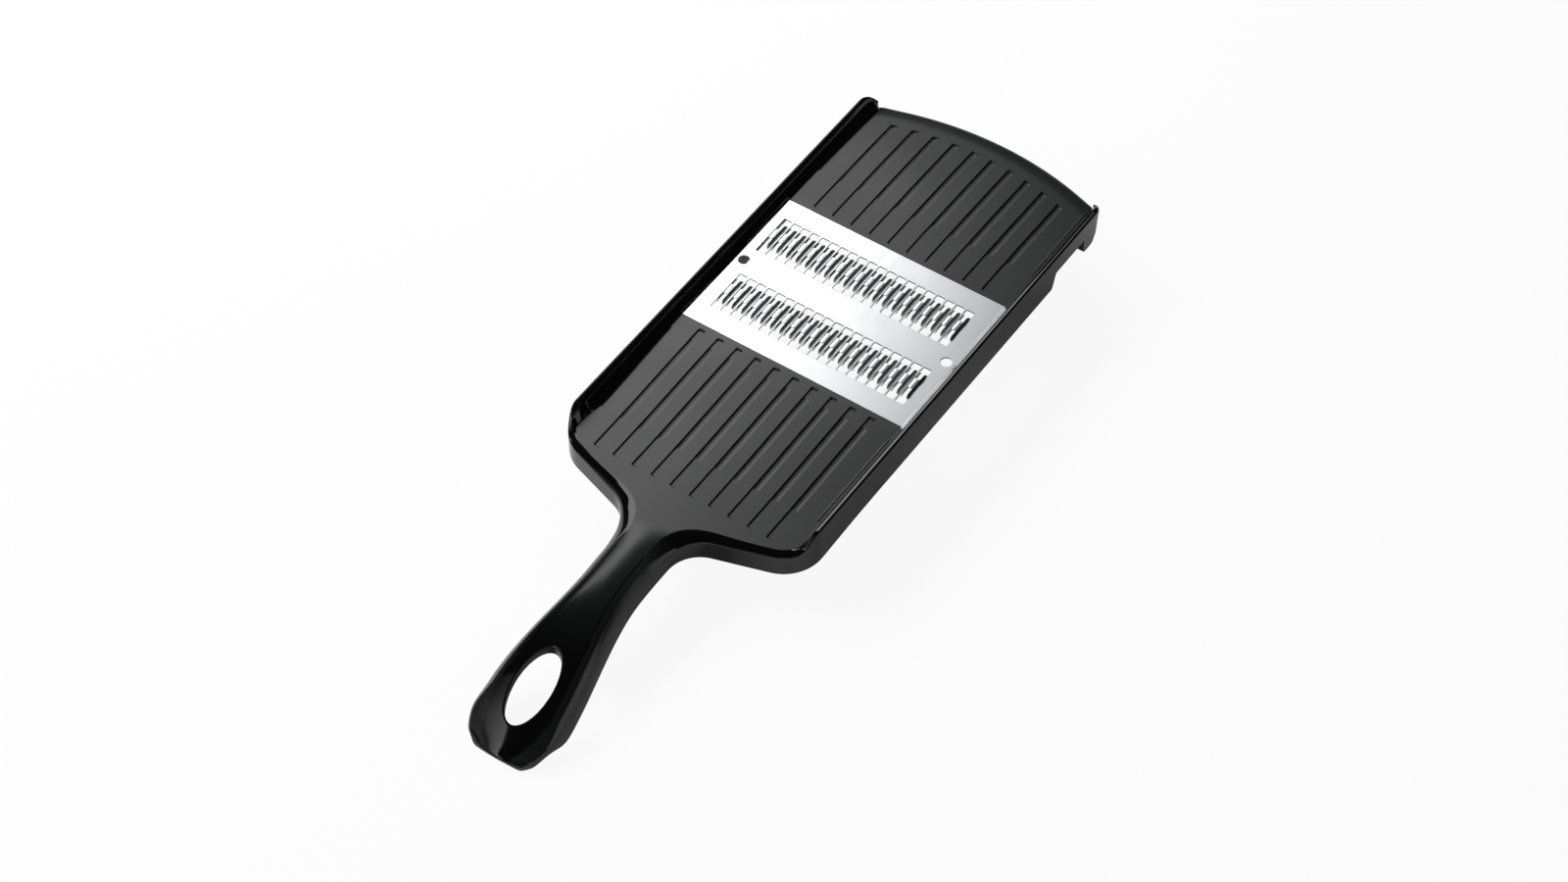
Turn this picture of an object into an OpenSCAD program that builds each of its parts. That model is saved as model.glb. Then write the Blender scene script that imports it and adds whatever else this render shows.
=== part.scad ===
// Hand-held julienne slicer: a moulded body with a handle, and a stamped blade plate set into its deck.
// The design is drawn from the centre of the blade plate's top face: +X across, +Y towards the far end,
// +Z up. seat() then puts the bottom centre of the overall box on the origin.

/* [Deck] */
// Overall width across the two side beams
body_w = 110.4; // [100:0.2:130]
// From the middle of the plate to the far edge, on the centre line
far_reach = 111; // [104:0.5:125]
// Radius of the far edge, seen from above
far_edge_r = 133; // [100:1:300]
// Thickness of the deck
deck_t = 2.5; // [2:0.1:3.5]
// How far the deck falls away at the far edge
far_drop = 1.8; // [0:0.1:3]
// How far the deck falls away towards the neck
near_drop = 1.3; // [0:0.1:2.5]
// Length of the rounded roll-off along the far edge
roll_len = 8; // [5:0.5:10]
// Height of the rounded roll-off along the far edge
roll_drop = 2; // [1:0.1:2.2]

/* [Side beams] */
// Thickness of a side beam
beam_t = 5.4; // [4.5:0.1:7]
// Height of the guide rail above the plate
rail_h = 5.4; // [3:0.1:8]
// Width of the guide rail's rounded top
rail_top_w = 2.4; // [1.6:0.1:3]
// Depth of the skirt below the plate's top face
skirt_d = 8.7; // [7:0.1:14]
// From the middle of the plate to the far end of a beam
beam_reach = 97; // [90:0.5:100]
// Width of the slot that cores a beam from below
core_w = 2.2; // [1.4:0.1:2.6]
// Thickness of the material left above the coring slot, below the plate
core_roof = 2; // [1.2:0.1:3]

/* [Bowl rim notch] */
// Length of the notch along the skirt
notch_len = 20; // [14:0.5:26]
// Height of the notch's roof below the plate's top face
notch_z = 3.4; // [3:0.1:5]
// Length of the hook beyond the notch
hook_len = 12; // [8:0.5:16]
// How far the hook reaches below the skirt
hook_drop = 1.2; // [0.4:0.1:3]

/* [Near end and neck] */
// From the middle of the plate to the centre of the near corner's radius
corner_y = 96.2; // [92:0.2:110]
// Radius of the near corners
corner_r = 17; // [10:0.5:20]
// Slope of the near edge towards the neck, in degrees
edge_slope = 17.5; // [10:0.5:25]
// Radius of the fillet from the near edge into the neck
neck_r = 14; // [10:0.5:20]
// Half the width of the neck
neck_half = 12.2; // [10:0.1:14]
// Wall of the skirt around the near end and of the handle's sides
wall = 2.5; // [2:0.1:3]
// Inset of the rounded top edge
edge_inset = 3.2; // [2.8:0.1:4]

/* [Handle] */
// From the middle of the plate to the end of the handle
handle_reach = 223.5; // [200:0.5:250]
// Radius of the bend that turns the handle down
bend_r = 150; // [130:1:300]
// From the middle of the plate to the start of the bend
bend_y = 133; // [128:0.5:140]
// Depth of the handle from its top to its lower edges
handle_d = 10.4; // [8:0.1:14]
// Half the greatest width of the handle, near its end
tail_half = 19; // [15:0.5:22]
// Half the width of the flat cut at the handle's end
tail_cut_half = 9.5; // [8:0.5:12]
// Length of the rounded end of the handle
tail_len = 18.5; // [14:0.5:24]
// Thickness of the handle's shell
handle_t = 4; // [2.5:0.1:4.4]
// Inset of the handle's upper edges from its lower edges
flank_inset = 5; // [4:0.1:6]
// Thickness of the handle at its end
tail_t = 3.8; // [3.2:0.1:5]

/* [Hanging hole] */
// Width of the hanging hole
hole_w = 15.4; // [10:0.2:18]
// Length of the hanging hole, seen from above
hole_len = 28; // [20:0.5:34]
// From the handle's end to the middle of the hanging hole
hole_inset = 25.2; // [20:0.2:32]

/* [Deck grooves] */
// Number of grooves beside each other
groove_n = 10; // [4:1:12]
// Spacing of the grooves
groove_pitch = 8.59; // [6:0.01:9.5]
// Width of a groove
groove_w = 3; // [2:0.1:4]
// Depth of a groove
groove_deep = 0.8; // [0.4:0.1:1.2]
// Gap between the plate and the nearest end of a groove
groove_gap = 2.2; // [1.5:0.1:6]
// From the far edge of the deck to the far end of a groove
groove_far = 11; // [9:0.5:20]
// From the middle of the plate to the near end of a groove
groove_near = 106.5; // [80:0.5:108]

/* [Blade plate] */
// Length of the plate along the slicing direction
plate_len = 72.3; // [60:0.1:80]
// Thickness of the steel sheet
sheet_t = 0.5; // [0.4:0.05:0.8]
// How far each end of the plate runs into a side beam
plate_tuck = 1.7; // [1:0.1:2.5]
// Gap around the plate's edges
plate_gap = 0.1; // [0.05:0.05:0.3]
// Width of the ledge under each long edge of the plate
ledge_w = 4; // [2:0.5:5.5]
// Radius of the two pilot holes
pilot_r = 2.3; // [1.5:0.1:2.5]
// From each end of the plate to the middle of its pilot hole
pilot_inset = 5.2; // [4.8:0.1:5.8]

/* [Cutters] */
// Number of cutters in a row
cutter_n = 20; // [10:1:20]
// Spacing of the cutters
cutter_pitch = 4.42; // [4.2:0.01:4.45]
// Width of a window
window_w = 3.65; // [3.3:0.05:3.7]
// Length of a window
window_len = 20; // [16:0.5:22]
// From the middle of the plate to the middle of a row
row_y = 16.7; // [14:0.1:20]
// Sideways shift of both rows together
row_shift = -0.6; // [-0.6:0.1:0.6]
// Height of a cutter above the plate
cutter_h = 2.1; // [1.5:0.1:3]
// Length of a cutter's upright edges
edge_len = 13.6; // [8:0.1:15]
// Length of the strap that joins a cutter's edges
strap_len = 5; // [3:0.1:6]
// Inward lean of a cutter's edges at their top
edge_lean = 0.9; // [0.4:0.05:1]
// How far a cutter's foot runs into the sheet beside its window
edge_over = 0.15; // [0.1:0.05:0.25]

/* [Hidden] */
$fn = 48;
half_w = body_w / 2;
beam_in = half_w - beam_t;
plate_half_w = beam_in + plate_tuck;
overlap = 1;
flat_y = plate_len / 2 + 1;
groove_end = plate_len / 2 + groove_gap;
// The guide rail: how far its foot stands in over the deck, the knee of its inner face, the bevel along
// its top and the length of its sloped near end.
rail_foot = 0.3;
rail_knee = 1;
rail_knee_z = 1.6;
bevel = 0.7;
rail_run = 2;
// The slope from the skirt up into the notch.
step_slope = 1.5;
// Where the roll-off along the far edge starts.
roll_top = -far_drop / 2;
// How finely the rounded shapes are divided.
hole_sides = 64;
ring_gap = 7;
deck_steps = 24;
groove_steps = 8;
// Where the near corner's arc meets the sloped near edge, and the centre of the neck's fillet.
sweep = 90 - edge_slope;
corner_x = half_w - corner_r;
line_x = corner_x + corner_r * cos(sweep);
line_y = -corner_y - corner_r * sin(sweep);
neck_x = neck_half + neck_r;
neck_y = line_y + ((neck_x - line_x) * sin(edge_slope) - neck_r) / cos(edge_slope);
// Where the handle is widest, and where its flanks have grown to their full depth.
tail_y = handle_reach - tail_len;
flank_y = neck_y - 8;
flare_y = neck_y - 16;
// The handle's end from above is a superellipse of this order, its last rings closer together.
tail_order = 1.6;
end_len = 12;
// Points of a section, as shares of the edge's inset, of the half width or of the depth.
brow_share = 0.35;
foot_share = 0.08;
crown_share = 0.6;
knee_share = 0.65;
brow_drop = 0.4;
brow_shell = 0.8;
handle_knee = 7;
// How far the middle of a section stands above its edges, on the deck, the handle and the handle's end.
deck_crown = 0.2;
handle_crown = 1.1;
tail_crown = 0.3;
// The handle's end: the inset of its upper edge, and how much thinner its shell is than the end.
tail_inset = 1;
tail_shell = 0.5;
// The lengths along which one section turns into the next.
to_handle_run = 10;
to_tail_run = 6;
// How far the inner points of a section keep from the outer ones.
crown_gap = 0.4;
brow_gap = 1.5;
tail_low = handle_top(-handle_reach) - tail_t;
seat_up = -tail_low;
seat_along = (handle_reach - far_reach) / 2;

function smooth(t) = let (u = min(1, max(0, t))) u * u * (3 - 2 * u);
function blend(a, b, t) = a + (b - a) * smooth(t);

// Height of the top surface on the centre line.
function far_fall(y) = far_drop * pow(max(0, y - flat_y) / (far_reach - flat_y), 2);
function near_fall(y) = near_drop * smooth((-y - flat_y) / (corner_y - flat_y));
function bend_fall(y) = y > -bend_y ? 0 : bend_r - sqrt(pow(bend_r, 2) - pow(bend_y + y, 2));
function handle_top(y) = -near_fall(y) - bend_fall(y);
function deck_top(y) = y > 0 ? -far_fall(y) : handle_top(y);

// Half width of the near end and the handle at y, with their outline moved inwards by i.
function corner_half(y, i) = corner_x + sqrt(max(0, pow(corner_r - i, 2) - pow(y + corner_y, 2)));
function line_half(y, i) = line_x + ((y - line_y) * cos(edge_slope) - i) / sin(edge_slope);
function fillet_half(y, i) = neck_x - sqrt(max(0, pow(neck_r + i, 2) - pow(y - neck_y, 2)));
function flare_half(y) = blend(neck_half, tail_half, (flare_y - y) / (flare_y + tail_y));
function tail_round(y) =
    pow(max(0, 1 - pow(max(0, -y - tail_y) / tail_len, tail_order)), 1 / tail_order);
function tail_half_at(y) = tail_cut_half + (tail_half - tail_cut_half) * tail_round(y);
function half_at(y, i) =
    y > -corner_y - (corner_r - i) * sin(sweep) ? corner_half(y, i)
    : y > neck_y + (neck_r + i) * sin(sweep) ? line_half(y, i)
    : y > neck_y ? fillet_half(y, i)
    : y > -tail_y ? flare_half(y) - i
    : tail_half_at(y) - i;

// The shape of a section through the near end or the handle.
function to_handle(y) = smooth((neck_y + to_handle_run - y) / (neck_y + to_handle_run - flank_y));
function to_tail(y) = smooth((-y - tail_y + to_tail_run) / (tail_len + 1));
function inset_at(y) = blend(blend(edge_inset, flank_inset, to_handle(y)), tail_inset, to_tail(y));
function depth_at(y) =
    blend(blend(skirt_d + deck_top(y), handle_d, to_handle(y)), tail_t, to_tail(y));
function shell_at(y) =
    blend(blend(deck_t, handle_t, to_handle(y)), tail_t - tail_shell, to_tail(y));
function crown_at(y) =
    blend(blend(deck_crown, handle_crown, to_handle(y)), tail_crown, to_tail(y));

// Right half of a section: its outer points from the top of the centre line down to the lower edge,
// then the inner points that face them, as [x, height].
function outer_half(y) =
    let (top = deck_top(y), f = inset_at(y), d = depth_at(y), c = crown_at(y),
         knee = min(knee_share * d, blend(edge_inset, handle_knee, to_handle(y))))
    [[0, top],
     [half_at(y, f) * crown_share, top - brow_share * c],
     [half_at(y, f), top - c],
     [half_at(y, brow_share * f), top - c - brow_drop * (knee - c)],
     [half_at(y, foot_share * f), top - knee],
     [half_at(y, 0), top - d]];
function inner_half(y) =
    let (o = outer_half(y), top = deck_top(y), f = inset_at(y), s = shell_at(y),
         low = top - depth_at(y), brow = max(o[3][1] - brow_shell * s, low + 0.2))
    [[0, top - s],
     [half_at(y, f) * crown_share - crown_gap, o[1][1] - s],
     [half_at(y, max(f + brow_gap, brow_share * f + wall + crown_gap)), o[2][1] - s],
     [half_at(y, brow_share * f + wall), brow],
     [half_at(y, foot_share * f + wall), min(brow - 0.05, max(o[4][1] - 1, low + 0.1))],
     [half_at(y, wall), low]];
half_n = len(outer_half(0));
function mirrored(h) = [for (p = h) [-p[0], p[1]]];
function ring(y) =
    let (o = outer_half(y), i = inner_half(y))
    [for (p = concat([for (k = [half_n - 1:-1:1]) mirrored(o)[k]], o,
                     [for (k = [half_n - 1:-1:1]) i[k]], mirrored(i)))
        [p[0], y, p[1]]];

// Ring places: round the corner, along the sloped edge, through the fillet and down the handle.
handle_len = handle_reach + neck_y - end_len;
handle_rings = ceil(handle_len / ring_gap);
near_rings = concat(
    [for (a = [0:12:sweep]) -corner_y - corner_r * sin(a)],
    [for (k = [0:3]) line_y + (neck_y + neck_r * sin(sweep) - line_y) * k / 3],
    [for (b = [60:-12:0]) neck_y + neck_r * sin(b)],
    [for (k = [1:handle_rings]) neck_y - handle_len * k / handle_rings],
    [for (a = [18:18:90]) end_len - handle_reach - end_len * sin(a)]);

// The near end, the neck and the handle as one hollow shell, open underneath.
module near_end() {
    n = len(ring(0));
    m = len(near_rings);
    top_n = 2 * half_n - 1;
    points = [for (y = near_rings) each ring(y)];
    sides = [for (r = [0:m - 2]) for (k = [0:n - 1])
        let (a = r * n + k, b = r * n + (k + 1) % n)
        each [[a, b, a + n], [b, b + n, a + n]]];
    caps = [for (k = [0:top_n - 2])
        let (a = k, b = k + 1, c = n - 1 - b, d = n - 1 - a, far = (m - 1) * n)
        each [[a, d, b], [b, d, c], [far + a, far + b, far + d], [far + b, far + c, far + d]]];
    polyhedron(points, concat(sides, caps));
}

// Draws an outline given as [y, z] points and runs it across x from -w to w.
module across(w) {
    translate([-w, 0, 0])
        rotate([90, 0, 90])
            linear_extrude(2 * w)
                children();
}

// Draws an outline given as [x, z] points and runs it from y0 to y1.
module along(y0, y1) {
    translate([0, y1, 0])
        rotate([90, 0, 0])
            linear_extrude(y1 - y0)
                children();
}

// The deck from the side: its top rises to the plate and falls away at both ends.
module deck_band() {
    ys = [for (k = [0:deck_steps]) -corner_y + (far_reach + overlap + corner_y) * k / deck_steps];
    polygon(concat([for (y = ys) [y, deck_top(y)]],
                   [for (k = [deck_steps:-1:0]) [ys[k], deck_top(ys[k]) - deck_t]]));
}

// The space the deck keeps, from the far edge's centre outwards, with the rounded roll-off.
module far_profile() {
    polygon(concat([[0, -skirt_d], [0, overlap], [far_edge_r - roll_len, overlap]],
                   [for (a = [0:15:90])
                       [far_edge_r - roll_len * (1 - sin(a)),
                        roll_top - (far_drop + roll_drop + roll_top) * (1 - cos(a))]],
                   [[far_edge_r, -skirt_d]]));
}

module deck() {
    intersection() {
        across(beam_in + overlap) deck_band();
        translate([0, far_reach - far_edge_r, 0])
            rotate_extrude($fn = 360)
                far_profile();
    }
}

module beam_section() {
    polygon([[beam_in, -skirt_d - hook_drop],
             [half_w, -skirt_d - hook_drop],
             [half_w, rail_h - bevel],
             [half_w - bevel, rail_h],
             [half_w - rail_top_w + bevel, rail_h],
             [half_w - rail_top_w, rail_h - bevel],
             [half_w - rail_top_w - rail_knee, rail_knee_z],
             [beam_in - rail_foot, 0],
             [beam_in - rail_foot, -deck_t]]);
}

module beam() {
    along(-corner_y, beam_reach) beam_section();
}

// The notch that sits on a bowl's rim, the lower edge of the skirt and the slope at the rail's near end.
module beam_cuts() {
    hook_y = beam_reach - hook_len;
    low = -skirt_d - hook_drop - overlap;
    across(half_w + overlap)
        polygon([[-corner_y - overlap, low], [hook_y, low], [hook_y, -notch_z],
                 [hook_y - notch_len, -notch_z], [hook_y - notch_len - step_slope, -skirt_d],
                 [-corner_y - overlap, -skirt_d]]);
    across(half_w + overlap)
        polygon([[-corner_y - overlap, -near_drop], [-corner_y, -near_drop],
                 [rail_run - corner_y, rail_h], [rail_run - corner_y, rail_h + overlap],
                 [-corner_y - overlap, rail_h + overlap]]);
    for (side = [-1, 1])
        translate([side * (half_w - beam_t / 2) - core_w / 2, wall - corner_y, low])
            cube([core_w, beam_reach + corner_y - 2 * wall, -low - deck_t - core_roof]);
}

module plate_seat() {
    seat_y = plate_len / 2 + plate_gap;
    open_y = plate_len / 2 - ledge_w;
    translate([-beam_in + rail_foot, -seat_y, -sheet_t])
        cube([2 * (beam_in - rail_foot), 2 * seat_y, sheet_t + overlap]);
    translate([-plate_half_w - plate_gap, -seat_y, -sheet_t])
        cube([2 * (plate_half_w + plate_gap), 2 * seat_y, sheet_t]);
    translate([-beam_in, -open_y, -deck_t - overlap])
        cube([2 * beam_in, 2 * open_y, deck_t + 2 * overlap - sheet_t]);
}

module grooves() {
    for (k = [0:groove_n - 1]) {
        x = (k - (groove_n - 1) / 2) * groove_pitch;
        far_end = far_reach - groove_far - x * x / (2 * far_edge_r);
        groove(x, groove_end, far_end);
        groove(x, -groove_near, -groove_end);
    }
}

// One groove: its floor follows the deck at an even depth.
module groove(x, y0, y1) {
    ys = [for (k = [0:groove_steps]) y0 + (y1 - y0) * k / groove_steps];
    translate([x, 0, 0])
        across(groove_w / 2)
            polygon(concat([for (y = ys) [y, deck_top(y) - groove_deep]],
                           [[y1, overlap], [y0, overlap]]));
}

module hanging_hole() {
    translate([0, hole_inset - handle_reach, tail_low - overlap])
        linear_extrude(-tail_low + overlap)
            polygon([for (k = [0:hole_sides - 1]) let (a = 360 * k / hole_sides)
                     [hole_w / 2 * cos(a), hole_len / 2 * sin(a)]]);
}

// Everything is lifted and slid so that the bottom centre of the overall box is the origin.
module seat() {
    translate([0, seat_along, seat_up])
        children();
}

module moulded_body() {
    color("#232423")
        seat()
            difference() {
                union() {
                    deck();
                    difference() {
                        union() {
                            beam();
                            mirror([1, 0, 0]) beam();
                        }
                        beam_cuts();
                    }
                    near_end();
                }
                plate_seat();
                grooves();
                hanging_hole();
            }
}

// One cutter: two upright edges that lean towards each other, joined at the top by a short strap.
module cutter() {
    foot = window_w / 2 + edge_over;
    head = foot - edge_lean;
    for (side = [-1, 1])
        along(-edge_len / 2, edge_len / 2)
            polygon([[side * foot, -sheet_t / 2], [side * (foot - sheet_t), -sheet_t / 2],
                     [side * (head - sheet_t), cutter_h], [side * head, cutter_h]]);
    along(-strap_len / 2, strap_len / 2)
        polygon([[-head, cutter_h - sheet_t], [head, cutter_h - sheet_t],
                 [head, cutter_h], [-head, cutter_h]]);
}

module blade_plate() {
    row_x = (cutter_n - 1) / 2;
    color("#c9cbcc")
        seat() {
            difference() {
                translate([-plate_half_w, -plate_len / 2, -sheet_t])
                    cube([2 * plate_half_w, plate_len, sheet_t]);
                for (row = [-1, 1]) for (k = [0:cutter_n - 1])
                    translate([(k - row_x) * cutter_pitch + row_shift - row * cutter_pitch / 4
                               - window_w / 2, row * row_y - window_len / 2, -sheet_t - overlap])
                        cube([window_w, window_len, sheet_t + 2 * overlap]);
                for (side = [-1, 1])
                    translate([side * (plate_half_w - pilot_inset), 0, -sheet_t - overlap])
                        cylinder(h = sheet_t + 2 * overlap, r = pilot_r);
            }
            for (row = [-1, 1]) for (k = [0:cutter_n - 1])
                translate([(k - row_x) * cutter_pitch + row_shift - row * cutter_pitch / 4,
                           row * row_y, 0])
                    cutter();
        }
}

moulded_body();
blade_plate();
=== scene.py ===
"""Hand-held julienne slicer.

The moulded body, the blade plate and the stage are operators in a sidebar panel.
"""
import math

import bmesh
import bpy
from mathutils import Matrix, Vector


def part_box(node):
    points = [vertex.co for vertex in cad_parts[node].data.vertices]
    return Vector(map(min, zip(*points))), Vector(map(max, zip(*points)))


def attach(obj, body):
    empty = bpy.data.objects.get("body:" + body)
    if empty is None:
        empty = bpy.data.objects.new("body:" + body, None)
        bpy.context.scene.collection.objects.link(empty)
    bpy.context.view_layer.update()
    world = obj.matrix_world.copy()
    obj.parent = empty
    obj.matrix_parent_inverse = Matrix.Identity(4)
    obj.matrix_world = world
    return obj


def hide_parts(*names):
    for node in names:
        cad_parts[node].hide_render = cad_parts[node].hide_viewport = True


bl_info = {
    "name": "Julienne Slicer",
    "version": (1, 0, 0),
    "blender": (4, 5, 0),
    "location": "3D View > Sidebar > Slicer",
    "description": "Builds a hand-held julienne slicer round its packed solids",
    "category": "Add Mesh",
}

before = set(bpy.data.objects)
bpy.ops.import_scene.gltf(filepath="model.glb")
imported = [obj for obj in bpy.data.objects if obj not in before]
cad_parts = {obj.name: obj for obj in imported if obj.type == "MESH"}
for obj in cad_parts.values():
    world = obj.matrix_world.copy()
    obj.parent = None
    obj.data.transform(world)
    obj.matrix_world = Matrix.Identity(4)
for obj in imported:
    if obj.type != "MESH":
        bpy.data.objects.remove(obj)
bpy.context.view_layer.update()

MM = 0.001
PLATE_LOW, PLATE_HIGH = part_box("blade_plate")
PLATE_TOP = 0.0354766
# The shapes are worked out in millimetres from the centre of the plate's top face, and end up here.
SEAT = Vector(((PLATE_LOW.x + PLATE_HIGH.x) / 2, (PLATE_LOW.y + PLATE_HIGH.y) / 2, PLATE_TOP))


def to_metres(x, y, z):
    """A point in millimetres from the plate's centre, in the slicer's own frame."""
    return SEAT + Vector((x, y, z)) * MM


def lerp(a, b, t):
    return a + (b - a) * t


def smooth(t):
    t = min(1.0, max(0.0, t))
    return t * t * (3 - 2 * t)


def blend(a, b, t):
    return a + (b - a) * smooth(t)


def ellipse_drop(t):
    """How far a quarter round has dropped, from 0 at t = 0 to 1 at t = 1."""
    t = min(1.0, max(0.0, t))
    return 1 - math.sqrt(1 - t * t)


# ---------------------------------------------------------------- sizes and colours


class SlicerBodySizes(bpy.types.PropertyGroup):
    """Sizes of the moulded body that the solids leave open."""

    groove_depth: bpy.props.FloatProperty(
        name="Groove depth", description="Depth of the grooves in the deck",
        default=0.0008, unit="LENGTH")
    groove_width: bpy.props.FloatProperty(
        name="Groove width", description="Width of a groove across its top",
        default=0.003, unit="LENGTH")
    far_roll: bpy.props.FloatProperty(
        name="Far roll-off", description="Width of the rounded band along the far edge",
        default=0.008, unit="LENGTH")
    hole_rim: bpy.props.FloatProperty(
        name="Hole rim", description="Radius of the rim round the hanging hole",
        default=0.0007, unit="LENGTH")


class SlicerPlateSizes(bpy.types.PropertyGroup):
    """Sizes of the blade plate."""

    sheet: bpy.props.FloatProperty(
        name="Sheet", description="Thickness of the steel sheet", default=0.0005, unit="LENGTH")
    cutter_height: bpy.props.FloatProperty(
        name="Cutter height", description="Height of a cutter above the plate",
        default=0.0014, unit="LENGTH")
    cutter_pitch: bpy.props.FloatProperty(
        name="Cutter pitch", description="Spacing of the cutters in a row",
        default=0.00442, unit="LENGTH")


class SlicerFinish(bpy.types.PropertyGroup):
    """Colours of the two materials."""

    plastic: bpy.props.FloatVectorProperty(
        name="Plastic", description="Colour of the moulded body",
        default=(0.0015, 0.0016, 0.0016), size=3, subtype="COLOR", min=0, max=1)
    steel: bpy.props.FloatVectorProperty(
        name="Steel", description="Colour of the blade plate",
        default=(0.66, 0.67, 0.68), size=3, subtype="COLOR", min=0, max=1)


class SlicerStage(bpy.types.PropertyGroup):
    """Floor and light."""

    floor: bpy.props.FloatVectorProperty(
        name="Floor", description="Colour of the floor",
        default=(0.8, 0.8, 0.8), size=3, subtype="COLOR", min=0, max=1)
    key: bpy.props.FloatProperty(
        name="Key light", description="Radiance of the large soft light behind the slicer",
        default=2.8, min=0)
    side: bpy.props.FloatProperty(
        name="Side light", description="Radiance of the soft light at the handle's side",
        default=3.0, min=0)
    bounce: bpy.props.FloatProperty(
        name="Bounce light", description="Radiance of the soft light that only matt surfaces answer to",
        default=7.0, min=0)
    fill: bpy.props.FloatProperty(
        name="Fill light", description="Radiance of the dim upright light on the right",
        default=0.7, min=0)


# ---------------------------------------------------------------- the moulded body's form


class BodyForm:
    """Where every point of the moulded body lies, in millimetres from the plate's centre."""

    # The deck's plan and levels. Out to flat_x its columns run straight, and the far arc bends its rows.
    half_w, beam_in, foot_x = 55.2, 49.8, 49.5
    far_y, far_r = 111.0, 133.0
    arc_from, arc_len = 50.0, 48.0
    deck_t, skirt_z = 2.5, -10.4
    flat_x, flat_y = 41.0, 37.15
    far_drop, near_drop, roll_drop = 1.8, 1.3, 2.0
    # The plate's seat and the ledge under it.
    seat_y, ledge_y, sheet = 36.25, 32.15, 0.5
    # The guide rails: their foot and head, their rounded far end, and how they come down at both ends.
    foot_lean, foot_out, foot_out_y, foot_out_len = 0.75, 1.5, -86.0, 16.0
    rail_top_w, rail_inner_z, rail_outer_z = 2.4, 4.45, 4.1
    nose_x, nose_in, nose_r, round_y = 50.2, 1.7, 2.5, 93.4
    far_fall, far_fall_y = 5.0, 92.9
    near_fall, near_fall_y, near_fall_len = 4.6, -96.5, 11.0
    # Where the rail gives way to the gloss band, and the band to the wide round of the neck.
    rail_end_y, band_y, band_len, edge_y, edge_len = -93.5, -108.0, 8.0, -110.0, 14.0
    # The side beam's lower edge: the hook, its tip, the notch and the slot that cores the beam.
    hook_y, hook_z, hook_r = 85.0, -10.4, 1.6
    tip_y, tip_len, tip_rise = 90.5, 3.5, 2.9
    notch_y, notch_z, notch_len = 64.9, -3.3, 3.2
    core_z, core_in, core_out = -4.5, 51.4, 53.6
    lower_r, lower_rise = 0.15, 0.35
    # The near end's corners, its neck and the round along its edge.
    corner_y, corner_r = 96.2, 17.0
    edge_slope = math.radians(17.5)
    neck_r, neck_half = 14.0, 12.2
    wall, edge_roll = 2.5, 3.4
    edge_inset, neck_inset, roll_len = 3.1, 6.2, 14.0
    # The handle, its end and its hole.
    end_y, bend_y, bend_r = -223.5, -133.0, 150.0
    deep_y, deep_len = -60.0, 50.0
    handle_len, handle_d, handle_t, handle_crown, tail_t = 18.0, 10.4, 4.0, 1.7, 3.8
    tail_half, tail_cut, tail_len, tail_order = 19.0, 9.5, 18.5, 1.6
    flank_inset, tail_inset, end_r, end_drop = 5.0, 1.0, 1.0, 0.9
    hole_x, hole_y, hole_half = 7.7, -198.3, 14.0
    # The grooves.
    groove_pitch, groove_n, groove_round = 8.59, 5, 0.9
    groove_near, groove_far, groove_gap = 106.5, 100.0, 38.35

    def __init__(self, sizes):
        self.groove_deep = sizes.groove_depth / MM
        self.groove_half = sizes.groove_width / MM / 2
        self.far_roll = sizes.far_roll / MM
        self.rim_r = sizes.hole_rim / MM
        sweep = math.pi / 2 - self.edge_slope
        self.sweep = sweep
        self.corner_x = self.half_w - self.corner_r
        self.line_x = self.corner_x + self.corner_r * math.cos(sweep)
        self.line_y = -self.corner_y - self.corner_r * math.sin(sweep)
        self.neck_x = self.neck_half + self.neck_r
        self.neck_y = self.line_y + ((self.neck_x - self.line_x) * math.sin(self.edge_slope)
                                     - self.neck_r) / math.cos(self.edge_slope)
        self.handle_y = self.neck_y + 10
        self.tail_y = self.end_y + self.tail_len
        self.deck_end = -self.groove_near - 1.2
        # The corner between the far arc and the nose of a rail.
        self.cor_x = self.nose_x - self.nose_r
        arc_y = self.far_y - self.far_r
        self.nose_y = arc_y + math.sqrt((self.far_r - self.nose_r) ** 2 - self.cor_x ** 2)
        self.cor_end = math.atan2(self.nose_y - arc_y, self.cor_x)

    # heights on the centre line -------------------------------------------------

    def top(self, y):
        """Height of the top surface on the centre line."""
        if y > 0:
            return -self.far_drop * (max(0.0, y - self.flat_y) / (self.far_y - self.flat_y)) ** 2
        fall = self.near_drop * smooth((-y - self.flat_y) / (self.corner_y - self.flat_y))
        if y < self.bend_y:
            fall += self.bend_r - math.sqrt(self.bend_r ** 2 - (self.bend_y - y) ** 2)
        return -fall

    # the outline of the near end and the handle ------------------------------------

    def half(self, y, i=0.0):
        """Half width at y of the near end and the handle, with the outline moved inwards by i."""
        if y > -self.corner_y:
            return self.half_w - i
        if y > -self.corner_y - (self.corner_r - i) * math.sin(self.sweep):
            return self.corner_x + math.sqrt(max(0.0, (self.corner_r - i) ** 2 - (y + self.corner_y) ** 2))
        if y > self.neck_y + (self.neck_r + i) * math.sin(self.sweep):
            along = (y - self.line_y) * math.cos(self.edge_slope) - i
            return self.line_x + along / math.sin(self.edge_slope)
        if y > self.neck_y:
            return self.neck_x - math.sqrt(max(0.0, (self.neck_r + i) ** 2 - (y - self.neck_y) ** 2))
        if y > self.tail_y:
            flare = self.neck_y - 16
            return blend(self.neck_half, self.tail_half, (flare - y) / (flare - self.tail_y)) - i
        u = min(1.0, (self.tail_y - y) / self.tail_len)
        left = (1 - u ** self.tail_order) ** (1 / self.tail_order)
        return lerp(self.tail_cut, self.tail_half, left) - i

    def to_handle(self, y):
        """How much of the handle's section holds at y."""
        return smooth((self.handle_y - y) / self.handle_len)

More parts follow.
